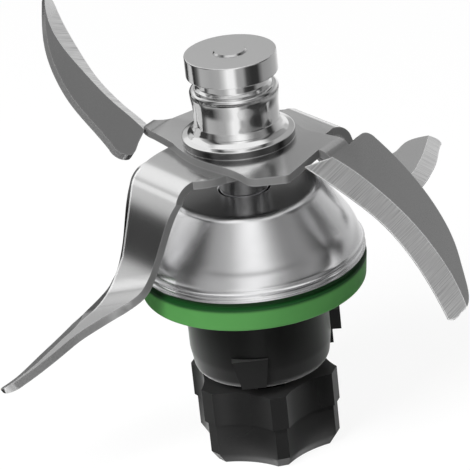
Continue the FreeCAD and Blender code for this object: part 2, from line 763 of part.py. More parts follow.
def drive_coupling():
    upper = Part.Face(star(LOBE_R, VALLEY_R, COUPLING_STEP)).extrude(vec(0, 0, COUPLING_TOP - COUPLING_STEP))
    waist = star(LOBE_LOW_R, VALLEY_R - 0.3, COUPLING_CHAMFER, 4.8)
    lower = Part.Face(waist).extrude(vec(0, 0, COUPLING_STEP - COUPLING_CHAMFER))
    slope = Part.makeLoft([waist, star(15.8, VALLEY_R - 1.8, -DATUM, 4.8)], True, True)
    body = joined([upper, lower, slope])
    body = body.cut(hexagon(7.0, 8.6, COUPLING_TOP + 1))
    body = body.cut(cyl(9.0, -DATUM - 1, 8.6))
    # six lightening pockets open at the top
    for k in range(LOBES):
        pocket = sector(9.6, 12.6, 12.5, COUPLING_TOP + 1, LOBE_AZ - 20 + 60 * k, 40)
        body = body.cut(pocket)
    return body


def hexagon(flat, low, high, turn=0.0):
    """Hexagonal bar, flat is the distance from the axis to each face."""
    r = flat / math.cos(math.pi / 6)
    pts = []
    for k in range(7):
        a = math.radians(60 * k + turn)
        pts.append(vec(r * math.cos(a), r * math.sin(a), low))
    return Part.Face(Part.makePolygon(pts)).extrude(vec(0, 0, high - low))


save("drive_coupling", drive_coupling())


def coupling_insert():
    body = joined([hexagon(7.0, 8.6, COUPLING_TOP), cyl(7.0, COUPLING_TOP, INSERT_TOP)])
    body = body.cut(shaft_section(8.0, COUPLING_TOP))
    return body.cut(cyl(SHAFT_R, COUPLING_TOP, INSERT_TOP + 1))


save("coupling_insert", coupling_insert())

# nut and washer in the recess under the coupling
thread = SHAFT_R - 0.6
save("coupling_washer", ring(thread, 8.4, NUT_LOW + NUT_H - 1.3, 8.6))
nut = hexagon(6.0, NUT_LOW - 0.6, NUT_LOW + NUT_H - 1.3, 10)
nut = nut.common(Part.makeCone(6.2, 12.0, 5.8, vec(0, 0, NUT_LOW - 0.6)))
save("coupling_nut", nut.cut(cyl(thread, 0, 20)))
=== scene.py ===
import math

import bpy
import numpy as np
from mathutils import Matrix, Vector


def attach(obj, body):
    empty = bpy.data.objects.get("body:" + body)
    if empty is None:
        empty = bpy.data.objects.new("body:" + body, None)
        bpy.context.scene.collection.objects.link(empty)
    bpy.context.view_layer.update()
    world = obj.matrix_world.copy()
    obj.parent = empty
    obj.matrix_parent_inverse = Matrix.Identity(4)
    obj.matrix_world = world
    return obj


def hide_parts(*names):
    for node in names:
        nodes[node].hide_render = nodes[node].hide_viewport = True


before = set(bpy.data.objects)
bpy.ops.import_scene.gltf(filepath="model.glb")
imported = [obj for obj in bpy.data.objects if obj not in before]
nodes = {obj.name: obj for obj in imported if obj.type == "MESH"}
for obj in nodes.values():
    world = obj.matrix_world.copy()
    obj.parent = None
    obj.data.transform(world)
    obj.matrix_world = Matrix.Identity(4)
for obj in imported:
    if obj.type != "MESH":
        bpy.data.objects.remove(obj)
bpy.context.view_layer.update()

# Camera: a long lens in front of the knife and above it, rolled a little.
# Its place and angles come from the ellipses of the cap, the dome's lip and the seal in the photograph.
YAW, PITCH, ROLL = -0.0052608, 0.438456, -0.109351
LENS_PLACE = (0, -0.65429, 0.36213)
FRAME_PIXELS = 470
FOCAL_PIXELS = 3025.77
FILM_WIDTH = 36
ahead = np.array([math.sin(YAW) * math.cos(PITCH), math.cos(YAW) * math.cos(PITCH), -math.sin(PITCH)])
level = np.array([math.cos(YAW), -math.sin(YAW), 0.0])
above = np.cross(level, ahead)
right = math.cos(ROLL) * level + math.sin(ROLL) * above
up = -math.sin(ROLL) * level + math.cos(ROLL) * above
camera = bpy.data.objects.new("camera", bpy.data.cameras.new("camera"))
camera.data.sensor_width = FILM_WIDTH
camera.data.lens = FOCAL_PIXELS / FRAME_PIXELS * FILM_WIDTH
camera.data.clip_start = 0.05
camera.data.clip_end = 20
turn = Matrix([[right[i], up[i], -ahead[i]] for i in range(3)])
camera.matrix_world = Matrix.Translation(LENS_PLACE) @ turn.to_4x4()
bpy.context.scene.collection.objects.link(camera)
bpy.context.scene.camera = camera
bpy.context.scene.view_settings.view_transform = "Standard"


# Studio: a pale floor under the knife and a surround of soft boxes and dark flags.
# Polished steel has no look of its own, so the surround is described by direction: one band of
# brightness round the compass for each step of steepness at which a ray leaves the steel.
def grey(shade):
    """Opaque colour of one shade."""
    return (shade, shade, shade, 1)


class Bench:
    """Lays out the nodes of one material, world or group, and wires them."""

    def __init__(self, tree):
        self.tree = tree

    def add(self, kind, **settings):
        node = self.tree.nodes.new(kind)
        for name, value in settings.items():
            setattr(node, name, value)
        return node

    def link(self, source, socket):
        self.tree.links.new(source, socket)

    def put(self, value, socket):
        """Link a socket's value, or set a constant."""
        if isinstance(value, bpy.types.NodeSocket):
            self.link(value, socket)
        else:
            socket.default_value = value

    def math(self, operation, *values):
        node = self.add("ShaderNodeMath", operation=operation)
        for value, socket in zip(values, node.inputs):
            self.put(value, socket)
        return node.outputs[0]

    def spread(self, value, low, high):
        """Smooth step of a value: 0 at low, 1 at high."""
        node = self.add("ShaderNodeMapRange", interpolation_type="SMOOTHSTEP")
        self.put(value, node.inputs["Value"])
        node.inputs["From Min"].default_value = low
        node.inputs["From Max"].default_value = high
        return node.outputs[0]

    def ramp(self, value, stops):
        """Greys or colours at positions 0 to 1."""
        node = self.add("ShaderNodeValToRGB")
        elements = node.color_ramp.elements
        while len(elements) < len(stops):
            elements.new(0.5)
        for element, (position, shade) in zip(elements, stops):
            element.position = position
        for element, (position, shade) in zip(elements, stops):
            element.color = (*shade, 1) if isinstance(shade, tuple) else grey(shade)
        self.link(value, node.inputs[0])
        return node.outputs[0]

    def mix(self, share, a, b):
        """Colour a where the share is 0 and b where it is 1."""
        node = self.add("ShaderNodeMix", data_type="RGBA")
        self.put(share, node.inputs[0])
        self.put(a, node.inputs[6])
        self.put(b, node.inputs[7])
        return node.outputs[2]

    def blend(self, share, a, b):
        """Number a where the share is 0 and b where it is 1."""
        node = self.add("ShaderNodeMix", data_type="FLOAT")
        self.put(share, node.inputs[0])
        self.put(a, node.inputs[2])
        self.put(b, node.inputs[3])
        return node.outputs[0]

    def place(self):
        return self.add("ShaderNodeTexCoord").outputs["Object"]

    def facing(self):
        return self.add("ShaderNodeTexCoord").outputs["Normal"]

    def axes(self, vector):
        node = self.add("ShaderNodeSeparateXYZ")
        self.link(vector, node.inputs[0])
        return tuple(node.outputs)

    def dotted(self, vector, direction):
        node = self.add("ShaderNodeVectorMath", operation="DOT_PRODUCT")
        self.link(vector, node.inputs[0])
        self.put(direction if isinstance(direction, bpy.types.NodeSocket) else tuple(direction), node.inputs[1])
        return node.outputs["Value"]

    def noise(self, vector, scale, detail=2.0):
        """Cloudy value with about scale wrinkles in a metre."""
        node = self.add("ShaderNodeTexNoise")
        self.link(vector, node.inputs["Vector"])
        self.put(scale, node.inputs["Scale"])
        node.inputs["Detail"].default_value = detail
        return node.outputs[0]

    def placed(self, group, **values):
        """One use of a shared node group, with its own values."""
        node = self.add("ShaderNodeGroup")
        node.node_tree = group
        for label, value in values.items():
            node.inputs[label].default_value = value
        return node


world = bpy.data.worlds.new("studio")
bpy.context.scene.world = world
world.use_nodes = True
world.node_tree.nodes.clear()
bench = Bench(world.node_tree)
east, north, height = bench.axes(bench.add("ShaderNodeTexCoord").outputs["Generated"])
compass = bench.math("ARCTAN2", east, bench.math("MULTIPLY", north, -1.0))
compass = bench.math("MULTIPLY_ADD", compass, 1 / (2 * math.pi), 0.5)


def round_the_compass(*stops):
    """Brightness by direction: (degrees from the front, positive to the right; shade)."""
    return bench.ramp(compass, [(degrees / 360 + 0.5, shade) for degrees, shade in stops])


steep = round_the_compass(
    (-180, 0.05), (-70, 0.03), (-50, 0.25), (-24, 0.50), (-8, 0.92), (4, 0.92), (14, 0.36), (32, 0.04), (180, 0.04),
)
downward = round_the_compass(
    (-180, 0.05), (-175, 0.05), (-171, 0.60), (-165, 0.30), (-156, 0.08), (-142, 0.02), (-108, 0.03), (-97, 0.12),
    (-86, 0.42), (-72, 0.40), (-55, 0.36), (-34, 0.39), (-24, 0.57), (-13, 0.92), (2, 0.92), (11, 0.36), (26, 0.33),
    (35, 0.06), (48, 0.03), (66, 0.03), (82, 0.28), (110, 0.33), (140, 0.45), (157, 0.65), (171, 0.90), (176, 0.05),
    (180, 0.05),
)
sideways = round_the_compass(
    (-180, 0.05), (-130, 0.03), (-111, 0.04), (-88, 0.04), (-80, 0.16), (-69, 0.06), (-58, 0.30),
    (-46, 0.39), (-23, 0.46), (-12, 0.82), (0, 0.96), (12, 0.84), (23, 0.42), (35, 0.27), (46, 0.21), (58, 0.27),
    (69, 0.20), (80, 0.03), (92, 0.03), (103, 0.28), (114, 0.40), (125, 0.49), (136, 0.58), (147, 0.72),
    (158, 0.85), (180, 0.87),
)
upward = round_the_compass(
    (-180, 0.62), (-168, 0.50), (-140, 0.60), (-118, 0.75), (-109, 0.62), (-98, 0.36), (-88, 0.23), (-77, 0.07),
    (-66, 0.04), (-54, 0.30), (-41, 0.37), (-28, 0.42), (-14, 0.78), (0, 1.0), (14, 0.90), (28, 0.42), (41, 0.21),
    (54, 0.20), (66, 0.25), (77, 0.16), (88, 0.02), (98, 0.07), (107, 0.34), (116, 0.39), (125, 0.42), (133, 0.48),
    (141, 0.55), (160, 0.40), (176, 0.34), (180, 0.62),
)
overhead = round_the_compass(
    (-180, 0.02), (-179.2, 0.04), (-178, 0.62), (-168, 0.80), (-150, 0.85), (-115, 0.85), (-108, 0.40), (-98, 0.36),
    (-88, 0.23), (-77, 0.07), (-66, 0.04), (-54, 0.30), (-41, 0.37), (-28, 0.42), (-14, 0.78), (0, 1.0),
    (14, 0.90), (28, 0.42), (41, 0.21), (54, 0.20), (66, 0.25), (77, 0.16), (88, 0.02), (98, 0.10), (107, 0.20),
    (125, 0.24), (145, 0.34), (168, 0.40), (177.4, 0.36), (179, 0.05), (180, 0.02),
)
CEILING = FLOOR_GLOW = grey(0.9)
LOW_FLAG = grey(0.12)
FILL_FOR_DULL = grey(0.16)
BACKDROP = grey(1)
surround = FLOOR_GLOW
for low, high, band in (
    (-0.80, -0.68, steep),
    (-0.54, -0.44, downward),
    (-0.24, -0.10, sideways),
    (0.12, 0.24, upward),
    (0.386, 0.404, overhead),
    (0.80, 0.92, CEILING),
):
    surround = bench.mix(bench.spread(height, low, high), surround, band)
# a dark flag low in front, between the level soft boxes and the overhead one
from_front = bench.math("ABSOLUTE", bench.math("SUBTRACT", compass, 0.5))
flag_height = bench.math("MULTIPLY", bench.spread(height, 0.35, 0.39), bench.spread(height, 0.47, 0.43))
flag = bench.math("MULTIPLY", bench.spread(from_front, 0.17, 0.11), flag_height)
surround = bench.mix(flag, surround, LOW_FLAG)
ray = bench.add("ShaderNodeLightPath")
surround = bench.mix(ray.outputs["Is Diffuse Ray"], surround, FILL_FOR_DULL)
background = bench.add("ShaderNodeBackground")
bench.link(bench.mix(ray.outputs["Is Camera Ray"], surround, BACKDROP), background.inputs[0])
bench.link(background.outputs[0], bench.add("ShaderNodeOutputWorld").inputs[0])


def surface(name, points, faces, smooth=True):
    """Object at the origin from a list of points and a list of faces."""
    mesh = bpy.data.meshes.new(name)
    mesh.from_pydata(points, [], faces)
    mesh.update()
    if smooth:
        mesh.polygons.foreach_set("use_smooth", np.ones(len(mesh.polygons), bool))
    piece = bpy.data.objects.new(name, mesh)
    bpy.context.scene.collection.objects.link(piece)
    return piece


FLOOR_REACH = 4.0
PAPER = grey(0.88)
PAPER_GLOW = 1.06
GLOW_SHARE = 0.86
corners = [(x * FLOOR_REACH, y * FLOOR_REACH, 0) for x, y in ((-1, -1), (1, -1), (1, 1), (-1, 1))]
floor = surface("floor", corners, [(0, 1, 2, 3)], smooth=False)
floor.visible_glossy = False
paper = bpy.data.materials.new("floor_paper")
paper.use_nodes = True
paper.node_tree.nodes.clear()
bench = Bench(paper.node_tree)
lit = bench.add("ShaderNodeBsdfDiffuse")
lit.inputs[0].default_value = PAPER
glow = bench.add("ShaderNodeEmission")
glow.inputs[1].default_value = PAPER_GLOW
both = bench.add("ShaderNodeMixShader")
seen = bench.add("ShaderNodeLightPath").outputs["Is Camera Ray"]
bench.link(bench.math("MULTIPLY", seen, GLOW_SHARE), both.inputs[0])
bench.link(lit.outputs[0], both.inputs[1])
bench.link(glow.outputs[0], both.inputs[2])
bench.link(both.outputs[0], bench.add("ShaderNodeOutputMaterial").inputs[0])
floor.data.materials.append(paper)


def soft_box(name, place, aim, size, power):
    """Square lamp, turned toward a point and kept out of the steel's reflections."""
    lamp = bpy.data.lights.new(name, "AREA")
    lamp.size = size
    lamp.energy = power
    holder = bpy.data.objects.new(name, lamp)
    holder.location = place
    holder.rotation_euler = (Vector(aim) - Vector(place)).to_track_quat("-Z", "Y").to_euler()
    holder.visible_glossy = False
    bpy.context.scene.collection.objects.link(holder)


soft_box("key_box", (-0.44, -0.48, 0.8), (0, 0, 0.06), 0.45, 10.5)
soft_box("fill_box", (0.7, -0.3, 0.4), (0, 0, 0.05), 0.5, 0.2)


# Turned steel: the hub with its cap and gripping groove, and the collar below the knives.
# Both are bar stock turned on a lathe, then polished; only the cap's face keeps its dull tool marks.
# The hub clamps the two knives against the collar.
MM = 0.001
SHAFT_R = 4.0
HUB_LOW = 80.54
CAP_TOP = 102.3


def node_group(name, inputs, outputs):
    """Shared effect with float sockets: inputs are label=value, outputs are labels."""
    group = bpy.data.node_groups.new(name, "ShaderNodeTree")
    for label, value in inputs.items():
        socket = group.interface.new_socket(name=label, in_out="INPUT", socket_type="NodeSocketFloat")
        socket.default_value = value
    for label in outputs:
        group.interface.new_socket(name=label, in_out="OUTPUT", socket_type="NodeSocketFloat")
    bench = Bench(group)
    return group, bench, bench.add("NodeGroupInput").outputs, bench.add("NodeGroupOutput").inputs


# rings that a lathe tool leaves: a noise of radius and height only, with a slow haze over it
lathe_marks, bench, given, result = node_group(
    "lathe_marks", {"Pitch": 5000.0, "Roughness": 0.08, "Spread": 0.05}, ("Roughness", "Height", "Tone"))
x, y, z = bench.axes(bench.place())
radius = bench.math("SQRT", bench.math("ADD", bench.math("POWER", x, 2.0), bench.math("POWER", y, 2.0)))
profile_point = bench.add("ShaderNodeCombineXYZ")
bench.link(radius, profile_point.inputs[0])
bench.link(z, profile_point.inputs[2])
rings = bench.noise(profile_point.outputs[0], given["Pitch"], 3.0)
haze = bench.noise(bench.place(), 90.0, 4.0)
unevenness = bench.math("MULTIPLY", bench.math("ADD", rings, bench.math("MULTIPLY", haze, 1.2)), 0.5)
bench.link(bench.math("MULTIPLY_ADD", unevenness, given["Spread"], given["Roughness"]), result["Roughness"])
bench.link(rings, result["Height"])
bench.link(haze, result["Tone"])


def new_material(name, metallic=1.0):
    """Material with its own shader, and a bench for its nodes."""
    material = bpy.data.materials.new(name)
    material.use_nodes = True
    shader = material.node_tree.nodes["Principled BSDF"]
    shader.inputs["Metallic"].default_value = metallic
    return material, shader.inputs, Bench(material.node_tree)


def roughened(bench, shader, height, distance):
    """Feed a height, in metres of relief, into the shader's normal."""
    bump = bench.add("ShaderNodeBump")
    bump.inputs["Distance"].default_value = distance
    bench.link(height, bump.inputs["Height"])
    bench.link(bump.outputs[0], shader["Normal"])


def turned_steel(name, shade, roughness, unevenness=0.05, pitch=5000.0, relief=1.5e-6, top=None):
    """Steel with lathe marks. top is (height, shade): the flat above that height is painted in that darker shade,
    standing in for the dark reflection it shows.
    """
    material, shader, bench = new_material(name)
    marks = bench.placed(lathe_marks, Pitch=pitch, Roughness=roughness, Spread=unevenness).outputs
    bench.link(marks["Roughness"], shader["Roughness"])
    hazed = tuple(0.93 * c for c in shade)
    colour = bench.ramp(marks["Tone"], [(0.35, hazed), (0.65, shade)])
    # painted shade: a darker grey on the flat above the given height
    if top:
        top_height, painted_top_shade = top
        height = bench.axes(bench.place())[2]
        colour = bench.mix(bench.spread(height, top_height - 2e-4, top_height), colour, grey(painted_top_shade))
    bench.link(colour, shader["Base Color"])
    roughened(bench, shader, marks["Height"], relief)
    return material


def capped_steel(name, shade, darker_foot=None):
    """Turned steel whose top face is left dull from the facing cut.

    (low, high) for the darker foot: between these heights the upright face of the foot is drawn in a darker grey.
    """
    cap_from, cap_full = 0.1000, 0.1015
    cap_colour = grey(0.44)
    foot_colour = grey(0.22)
    material, shader, bench = new_material(name)
    marks = bench.placed(lathe_marks, Pitch=4200.0, Roughness=0.08, Spread=0.05).outputs
    upright = bench.axes(bench.facing())[2]
    height = bench.axes(bench.place())[2]
    dull = bench.math("MULTIPLY", bench.spread(upright, 0.93, 0.985), bench.spread(height, cap_from, cap_full))
    bench.link(bench.math("MULTIPLY_ADD", dull, 0.45, marks["Roughness"]), shader["Roughness"])
    bench.link(bench.math("MULTIPLY_ADD", dull, -0.85, 1.0), shader["Metallic"])
    colour = bench.ramp(marks["Tone"], [(0.35, 0.95 * shade), (0.65, shade)])
    # the foot's upright face is drawn in a darker grey between the two heights
    if darker_foot:
        low, high = darker_foot
        band = bench.math("MULTIPLY", bench.spread(height, low - 2e-4, low), bench.spread(height, high, high - 2e-4))
        side_face = bench.spread(bench.math("ABSOLUTE", upright), 0.5, 0.3)
        colour = bench.mix(bench.math("MULTIPLY", band, side_face), colour, foot_colour)
    bench.link(bench.mix(dull, colour, cap_colour), shader["Base Color"])
    roughened(bench, shader, marks["Height"], 1.0e-6)
    return material


def lathe(name, profile, steps=256):
    """Closed surface of revolution: point (r, z) of the profile at angle a lies at (r cos a, r sin a, z)."""
    profile = np.array(profile, float) * MM
    angles = np.linspace(0, 2 * math.pi, steps, endpoint=False)
    rows = len(profile)
    points = np.empty((rows, steps, 3))
    points[:, :, 0] = profile[:, 0, None] * np.cos(angles)
    points[:, :, 1] = profile[:, 0, None] * np.sin(angles)
    points[:, :, 2] = profile[:, 1, None]
    i, j = np.meshgrid(np.arange(rows), np.arange(steps), indexing="ij")
    here = i * steps + j
    beside = i * steps + (j + 1) % steps
    over = ((i + 1) % rows) * steps + (j + 1) % steps
    over_here = ((i + 1) % rows) * steps + j
    faces = np.stack([here, beside, over, over_here], -1).reshape(-1, 4)
    return surface(name, points.reshape(-1, 3).tolist(), faces.tolist())


def filleted(corners, fineness=5):
    """Profile through (r, z, fillet) corners: each corner is rounded by a quadratic curve that starts and ends
    one fillet away from it along its two sides, and flat stretches get a support point beside each curve."""
    path = []
    count = len(corners)
    for k in range(count):
        before = np.array(corners[k - 1][:2], float)
        corner = np.array(corners[k][:2], float)
        after = np.array(corners[(k + 1) % count][:2], float)
        size = corners[k][2]
        to_before = (before - corner) / np.linalg.norm(before - corner)
        to_after = (after - corner) / np.linalg.norm(after - corner)
        start = corner + to_before * size
        end = corner + to_after * size
        share = np.linspace(0, 1, fineness)[:, None]
        curve = (1 - share) ** 2 * start + 2 * share * (1 - share) * corner + share ** 2 * end
        path.append(start + to_before * size * 0.5)
        path.extend(curve)
        path.append(end + to_after * size * 0.5)
    return path


hub = lathe("hub", filleted([
    (SHAFT_R, HUB_LOW, 0.05),
    (13.4, HUB_LOW, 0.2),
    (13.4, 82.35, 0.22),
    (12.0, 82.7, 0.1),
    (10.75, 83.6, 0.5),
    (10.1, 85.4, 0.3),
    (10.1, 89.2, 1.2),
    (10.5, 92.2, 0.7),
    (10.5, 93.98, 1.0),
    (9.1, 94.05, 0.12),
    (8.4, 94.7, 0.25),
    (8.4, 96.6, 0.25),
    (9.0, 97.2, 0.1),
    (10.85, 97.2, 0.22),
    (10.85, CAP_TOP, 0.25),
    (SHAFT_R, CAP_TOP, 0.05),
]))
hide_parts("hub_sleeve")
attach(hub, "knife_rotor")
hub.data.materials.append(capped_steel("hub_steel", 0.96, darker_foot=(0.0806, 0.0825)))

collar = lathe("collar", filleted([
    (SHAFT_R, 59.4, 0.05),
    (5.2, 59.4, 0.1),
    (5.2, 67.0, 0.1),
    (5.9, 67.0, 0.1),
    (5.9, 76.54, 0.4),
    (SHAFT_R, 76.54, 0.05),
]))
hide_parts("blade_collar")
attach(collar, "knife_rotor")
collar.data.materials.append(turned_steel("collar_steel", (0.85, 0.85, 0.86), 0.06))


# Knives: two stampings of stainless sheet, folded in a press and hollow ground along each cutting edge.
# The faces keep a satin rolled finish, the ground bevels have fine lines across them, and the sheared rim of the
# sheet is dull.
# Each face and bevel is given its own grey, a painted shade lighter or darker by how it is lit.
DOWN_ARM, UP_ARM, SHORT_ARM, LONG_ARM = -37, 143, 36, -144
BEND_LIMIT = 11.5


def dressed(node, material, sharp_from=30.0):
    """Give a CAD solid a material, smooth inside each face and sharp where two faces meet at that many degrees."""
    piece = nodes[node]
    piece.data.polygons.foreach_set("use_smooth", np.ones(len(piece.data.polygons), bool))
    weld = piece.modifiers.new("weld", "WELD")
    weld.merge_threshold = 1e-6
    split = piece.modifiers.new("edges", "EDGE_SPLIT")
    split.split_angle = math.radians(sharp_from)
    piece.data.materials.clear()
    piece.data.materials.append(material)


def arm_axes(azimuth):
    """Outward and sideways directions of an arm."""
    a = math.radians(azimuth)
    return np.array([math.cos(a), math.sin(a), 0]), np.array([-math.sin(a), math.cos(a), 0])


def face_normal(azimuth, fold, across=0.0):
    """Top-face normal of an arm that folds down by an angle, tipped toward its cutting side."""
    out, side = arm_axes(azimuth)
    b, c = math.radians(fold), math.radians(across)
    flat = math.sin(b) * out + math.cos(b) * np.array([0, 0, 1])
    return math.cos(c) * flat - math.sin(c) * side


def along_edge(azimuth, fold, sweep=0.0):
    """Direction along an arm's cutting edge: outward in the plane of the arm, turned by a sweep angle."""
    out, side = arm_axes(azimuth)
    b, c = math.radians(fold), math.radians(sweep)
    outward = math.cos(b) * out - math.sin(b) * np.array([0, 0, 1])
    return math.cos(c) * outward + math.sin(c) * side


# painted highlight: a bright line along the arrises, found where a rounded normal leaves the face's own
painted_edge_highlight, bench, given, result = node_group("painted_edge_highlight", {"Width": 0.0002}, ("Mask",))
rounded = bench.add("ShaderNodeBevel", samples=6)
bench.link(given["Width"], rounded.inputs["Radius"])
agreement = bench.dotted(rounded.outputs[0], bench.add("ShaderNodeNewGeometry").outputs["Normal"])
bench.link(bench.spread(agreement, 0.9998, 0.994), result["Mask"])


def hollowed(bench, wall, across):
    """Normal of a wall that springs back slightly hollow after the press: it tips at both ends of the wall.

    wall is (normal, origin, run, length, tilt), and across is how far a point lies down the wall.
    """
    normal, origin, run, length, tilt = wall
    from_middle = bench.math("MULTIPLY_ADD", across, 2 / length, -1.0)
    hollow = bench.math("MINIMUM", bench.math("POWER", bench.math("ABSOLUTE", from_middle), 1.5), 1.0)
    hollow = bench.math("MULTIPLY", hollow, bench.spread(bench.dotted(bench.facing(), normal), 0.93, 0.985))
    tip = bench.add("ShaderNodeVectorMath", operation="SCALE")
    tip.inputs[0].default_value = tuple(-tilt * np.array(run))
    bench.link(hollow, tip.inputs["Scale"])
    turned_tip = bench.add("ShaderNodeVectorTransform", vector_type="VECTOR",
                           convert_from="OBJECT", convert_to="WORLD")
    bench.link(tip.outputs[0], turned_tip.inputs[0])
    total = bench.add("ShaderNodeVectorMath", operation="ADD")
    bench.link(bench.add("ShaderNodeNewGeometry").outputs["Normal"], total.inputs[0])
    bench.link(turned_tip.outputs[0], total.inputs[1])
    unit = bench.add("ShaderNodeVectorMath", operation="NORMALIZE")
    bench.link(total.outputs[0], unit.inputs[0])
    return unit.outputs[0]


def blade_steel(name, side, shade, roughness, faces, bevels, wall=None):
    """Sheet steel for one stamping whose arms share a sideways axis.

    A face is (normal, shade, roughness) and keeps the rolled finish; a bevel is (normal, direction along
    its edge, shade) and carries grinding lines square to the edge. Each shade is painted shade: the same steel
    drawn lighter or darker by how that face is lit. wall is the hollow wall of the long arm.
    """
    ground_roughness = 0.36
    rim_shade, rim_roughness = 0.23, 0.45
    arris_width = 0.00042
    material, shader, bench = new_material(name)
    place, facing = bench.place(), bench.facing()
    grain = bench.noise(place, 3200.0)
    cloud = bench.noise(place, 70.0, 3.0)

    tone, gloss = shade, roughness
    # painted shade: each face and each bevel below gets its own grey, lighter or darker by how it is lit
    for normal, painted_face_shade, face_roughness in faces:
        mask = bench.spread(bench.dotted(facing, normal), 0.984, 0.996)
        tone = bench.blend(mask, tone, painted_face_shade)
        gloss = bench.blend(mask, gloss, face_roughness)
    tone = bench.math("MULTIPLY", tone, bench.math("MULTIPLY_ADD", cloud, 0.10, 0.95))
    tone = bench.math("MULTIPLY", tone, bench.math("MULTIPLY_ADD", grain, 0.16, 0.92))

    ground = lines = 0.0
    for normal, along, painted_bevel_shade in bevels:
        mask = bench.spread(bench.dotted(facing, normal), 0.975, 0.988)
        stretched = bench.add("ShaderNodeCombineXYZ")
        bench.link(bench.dotted(place, 4200.0 * np.array(along)), stretched.inputs[0])
        bench.link(bench.dotted(place, 70.0 * np.cross(normal, along)), stretched.inputs[1])
        streak = bench.noise(stretched.outputs[0], 1.0, 3.0)
        streaked = bench.math("MULTIPLY_ADD", streak, 1.15 * painted_bevel_shade, 0.36 * painted_bevel_shade)
        tone = bench.blend(mask, tone, streaked)
        gloss = bench.blend(mask, gloss, ground_roughness)
        ground = bench.math("MAXIMUM", ground, mask)
        lines = bench.math("MULTIPLY_ADD", streak, mask, lines)

    rim = bench.spread(bench.math("ABSOLUTE", bench.dotted(facing, side)), 0.62, 0.75)
    if not wall:
        upright = bench.math("ABSOLUTE", bench.axes(facing)[2])
        rim = bench.math("MAXIMUM", rim, bench.spread(upright, 0.40, 0.25))
    tone = bench.blend(rim, tone, rim_shade)
    gloss = bench.blend(rim, gloss, rim_roughness)
    dull = bench.math("MULTIPLY", rim, 0.6)

    if wall:
        # the ground flat up the wall's cutting edge is real but drawn only in colour, as a dark painted line with a
        # painted highlight along its crest, following it out onto the flare
        normal, origin, run, length, tilt = wall
        down_wall = bench.math("SUBTRACT", bench.dotted(place, run), float(np.dot(origin, run)))
        past_bend = bench.math("MAXIMUM", bench.math("SUBTRACT", down_wall, 0.018), 0.0)
        inset = bench.math("MULTIPLY_ADD", past_bend, 0.33, bench.dotted(place, side))
        on_wall = bench.spread(bench.dotted(facing, normal), 0.55, 0.75)
        painted_crest = bench.math("MULTIPLY", bench.spread(inset, -0.0085, -0.0088), on_wall)
        flat = bench.math("MULTIPLY", bench.spread(inset, -0.0091, -0.0093), on_wall)
        tone = bench.blend(flat, bench.blend(painted_crest, tone, 1.0), 0.16)
        dull = bench.math("MAXIMUM", dull, bench.math("MULTIPLY", bench.math("SUBTRACT", painted_crest, flat), 0.3))

    # painted highlight along the arrises, strongest on the ground bevels
    arris = bench.placed(painted_edge_highlight, Width=arris_width).outputs["Mask"]
    arris = bench.math("MULTIPLY", arris, bench.math("MULTIPLY_ADD", ground, 0.92, 0.08))
    tone = bench.blend(arris, tone, 1.0)
    dull = bench.math("MAXIMUM", dull, bench.math("MULTIPLY", arris, 0.8))
    dull = bench.math("MAXIMUM", dull, bench.math("MULTIPLY", ground, 0.22))
    colour = bench.add("ShaderNodeCombineColor")
    for socket in colour.inputs:
        bench.link(tone, socket)
    bench.link(colour.outputs[0], shader["Base Color"])
    bench.link(bench.math("SUBTRACT", 1.0, dull), shader["Metallic"])
    bench.link(bench.math("MULTIPLY_ADD", cloud, 0.03, gloss), shader["Roughness"])
    bump = bench.add("ShaderNodeBump")
    bump.inputs["Distance"].default_value = 1.2e-6
    bench.link(bench.math("MULTIPLY_ADD", lines, 2.0, grain), bump.inputs["Height"])
    if wall:
        bench.link(hollowed(bench, wall, down_wall), bump.inputs["Normal"])
    bench.link(bump.outputs[0], shader["Normal"])
    return material


# the greys listed for each face and bevel are painted shade, set by how brightly each is lit
dressed("upper_blade", blade_steel(
    "upper_knife_steel", arm_axes(DOWN_ARM)[1], 0.80, 0.17,
    faces=[
        (face_normal(DOWN_ARM, 52), 0.68, 0.20),
        (face_normal(UP_ARM, -38), 0.62, 0.16),
    ],
    bevels=[
        (face_normal(DOWN_ARM, 52, 16), along_edge(DOWN_ARM, 52, 8), 0.95),
        (face_normal(UP_ARM, -38, 18), along_edge(UP_ARM, -38, -15), 0.92),
    ],
), BEND_LIMIT)

# the flare of the long arm is folded obliquely, so its face and bevel are given by their own normals
FLARE_FACE = (-0.507, 0.014, 0.862)
FLARE_BEVEL = (-0.574, 0.233, 0.785)
FLARE_EDGE = (-0.806, -0.366, -0.468)
SHORT_BEVEL = (0.474, -0.126, 0.871)
wall_top = 23.4 * MM * arm_axes(LONG_ARM)[0] + np.array([0, 0, 0.0745])
dressed("lower_blade", blade_steel(
    "lower_knife_steel", arm_axes(LONG_ARM)[1], 0.95, 0.22,
    faces=[
        (face_normal(SHORT_ARM, 2), 0.85, 0.16),
        (FLARE_FACE, 1.0, 0.36),
    ],
    bevels=[
        (SHORT_BEVEL, along_edge(SHORT_ARM, 2, 38), 1.0),
        (FLARE_BEVEL, FLARE_EDGE, 0.30),
    ],
    wall=(face_normal(LONG_ARM, 73), wall_top, along_edge(LONG_ARM, 73), 0.0225, 0.42),
), BEND_LIMIT)


